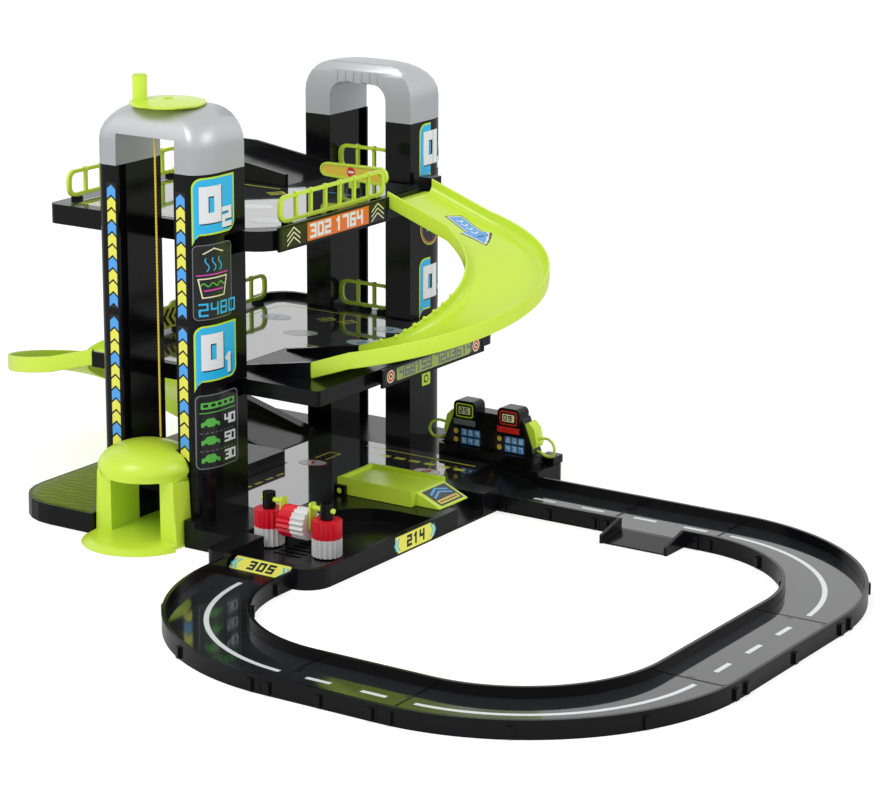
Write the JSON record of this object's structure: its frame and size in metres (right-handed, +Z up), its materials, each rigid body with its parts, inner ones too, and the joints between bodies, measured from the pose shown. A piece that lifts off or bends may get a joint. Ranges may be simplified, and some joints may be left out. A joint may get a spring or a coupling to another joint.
{
  "type": "toy parking garage",
  "caption": "Toy parking garage with three storeys, a hand cranked car lift, two U turn ramps, a car wash, a pump station and a clip together road circuit.",
  "frame": {"origin": "on the table, midway between the two towers", "axes": "+Z up, -Y towards the lift tower, +X towards the road circuit"},
  "size_m": [0.7077, 0.5088, 0.3173],
  "materials": {
    "black_plastic": "gloss",
    "lime_plastic": "gloss",
    "silver_plastic": "satin",
    "grey_plastic": "satin",
    "road_plastic": "gloss",
    "cord": "matte",
    "brush_plastic": "satin",
    "sign_plastic": "satin"
  },
  "bodies": {
    "garage": {"base_tray": "black_plastic", "base_channel": "black_plastic", "pump_station": "black_plastic", "pump_nozzle_left": "lime_plastic", "pump_nozzle_right": "lime_plastic", "pump_hose_left": "lime_plastic", "pump_hose_right": "lime_plastic", "lift_pillar_left_foot": "black_plastic", "lift_pillar_left_lower": "black_plastic", "lift_pillar_left_upper": "black_plastic", "lift_pillar_right_foot": "black_plastic", "lift_pillar_right_lower": "black_plastic", "lift_pillar_right_upper": "black_plastic", "rear_pillar_left_foot": "black_plastic", "rear_pillar_left_lower": "black_plastic", "rear_pillar_left_upper": "black_plastic", "rear_pillar_right_foot": "black_plastic", "rear_pillar_right_lower": "black_plastic", "rear_pillar_right_upper": "black_plastic", "lift_cap": "silver_plastic", "winch_plate": "grey_plastic", "arch_cap": "silver_plastic", "middle_deck": "black_plastic", "upper_deck": "black_plastic", "middle_channel": "black_plastic", "upper_channel": "black_plastic", "front_ramp": "lime_plastic", "rear_ramp": "lime_plastic", "upper_left_rail": "lime_plastic", "upper_front_rail": "lime_plastic", "upper_rear_rail": "lime_plastic", "middle_left_rail": "lime_plastic", "middle_rear_rail": "lime_plastic", "upper_sign": "sign_plastic", "middle_sign": "sign_plastic", "barrier_socket": "black_plastic", "cord_guide": "grey_plastic", "cord_lead": "cord", "lift_cord": "cord", "wash_post_left": "black_plastic", "wash_post_right": "black_plastic", "road_side_straight": "road_plastic", "road_junction": "road_plastic", "road_corner_back": "road_plastic", "road_long_straight": "road_plastic", "road_corner_front_right": "road_plastic", "road_front_straight": "road_plastic", "road_corner_front_left": "road_plastic"},
    "lift": {"cab_body": "lime_plastic", "cab_roof": "lime_plastic"},
    "winch": {"crank": "lime_plastic", "cord_drum": "grey_plastic", "cord_winding": "cord"},
    "barrier": {"barrier_arm": "lime_plastic"},
    "left_roller": {"wash_roller_left": "brush_plastic"},
    "right_roller": {"wash_roller_right": "brush_plastic"},
    "roller_frame": {"top_roller_frame": "lime_plastic"},
    "hanging_roller": {"top_roller": "brush_plastic"},
    "service_bridge": {"service_ramp": "lime_plastic"}
  },
  "joints": [
    {"name": "lift_slide", "type": "slide", "parent": "garage", "child": "lift", "axis": [0, 0, 1], "range_m": [0, 0.2075], "deforming": ["lift_cord"]},
    {"name": "crank_turn", "type": "hinge", "parent": "garage", "child": "winch", "pos_m": [0, -0.122, 0.2973], "axis": [0, 0, 1], "range_deg": [0, 990.8]},
    {"name": "barrier_swing", "type": "hinge", "parent": "garage", "child": "barrier", "pos_m": [0.032, 0.05, 0.212], "axis": [0, 0, 1], "range_deg": [-90, 90]},
    {"name": "left_roller_spin", "type": "hinge", "parent": "garage", "child": "left_roller", "pos_m": [0.088, -0.131, 0.018], "axis": [0, 0, 1], "continuous": true},
    {"name": "right_roller_spin", "type": "hinge", "parent": "garage", "child": "right_roller", "pos_m": [0.136, -0.131, 0.018], "axis": [0, 0, 1], "continuous": true},
    {"name": "roller_frame_swing", "type": "hinge", "parent": "garage", "child": "roller_frame", "pos_m": [0.112, -0.131, 0.037], "axis": [1, 0, 0], "range_deg": [-60, 60]},
    {"name": "hanging_roller_spin", "type": "hinge", "parent": "roller_frame", "child": "hanging_roller", "pos_m": [0.112, -0.131, 0.0245], "axis": [1, 0, 0], "continuous": true},
    {"name": "service_bridge_tilt", "type": "hinge", "parent": "garage", "child": "service_bridge", "pos_m": [0.08, -0.013, 0.018], "axis": [0, -1, 0], "range_deg": [0, 25]}
  ],
  "couplings": [
    {"joint": "crank_turn", "follows": "lift_slide", "rad_per_m": 83.333}
  ]
}
